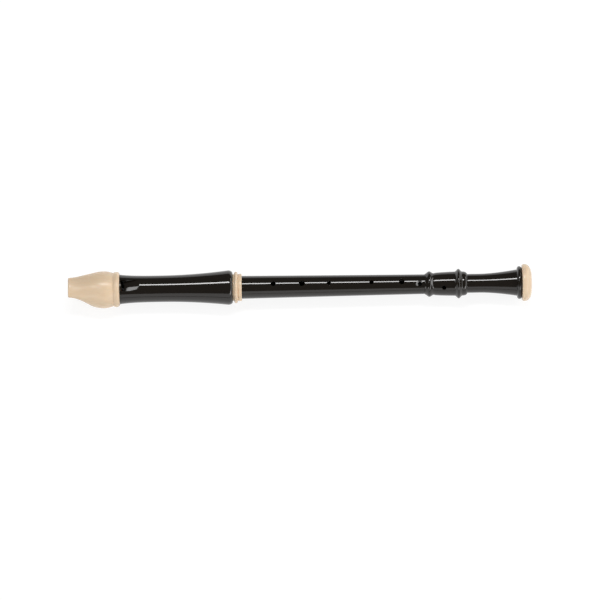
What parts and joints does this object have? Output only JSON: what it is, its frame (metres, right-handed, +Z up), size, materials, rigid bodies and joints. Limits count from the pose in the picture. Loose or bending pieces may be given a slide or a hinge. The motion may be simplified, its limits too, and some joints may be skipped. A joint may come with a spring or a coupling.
{
  "type": "tenor recorder",
  "caption": "Tenor recorder: a glossy black tube with open finger holes, an ivory beak, an ivory binding ring and an ivory foot end. Its joints turn and pull apart.",
  "frame": {"origin": "middle of the whole length, under the axis of the bore, on the surface that the instrument lies on", "axes": "+X along the bore from the beak to the foot, +Y to the player's left, +Z up out of the finger holes"},
  "size_m": [0.6184, 0.0494, 0.0494],
  "materials": {
    "black_gloss": "high gloss",
    "ivory_gloss": "soft gloss"
  },
  "bodies": {
    "middle_joint": {"middle_body": "black_gloss"},
    "head_collar": {"head_ring": "ivory_gloss"},
    "head_joint": {"head_body": "black_gloss", "beak": "ivory_gloss", "block": "ivory_gloss"},
    "foot_collar": {"foot_ring": "ivory_gloss"},
    "foot_joint": {"foot_body": "black_gloss"}
  },
  "joints": [
    {"name": "head_pull", "type": "slide", "parent": "middle_joint", "child": "head_collar", "axis": [-1, 0, 0], "range_m": [0, 0.032]},
    {"name": "head_turn", "type": "hinge", "parent": "head_collar", "child": "head_joint", "pos_m": [-0.07775, 0, 0.02471], "axis": [1, 0, 0], "continuous": true},
    {"name": "foot_pull", "type": "slide", "parent": "middle_joint", "child": "foot_collar", "axis": [1, 0, 0], "range_m": [0, 0.02]},
    {"name": "foot_turn", "type": "hinge", "parent": "foot_collar", "child": "foot_joint", "pos_m": [0.16655, 0, 0.02471], "axis": [1, 0, 0], "continuous": true}
  ]
}
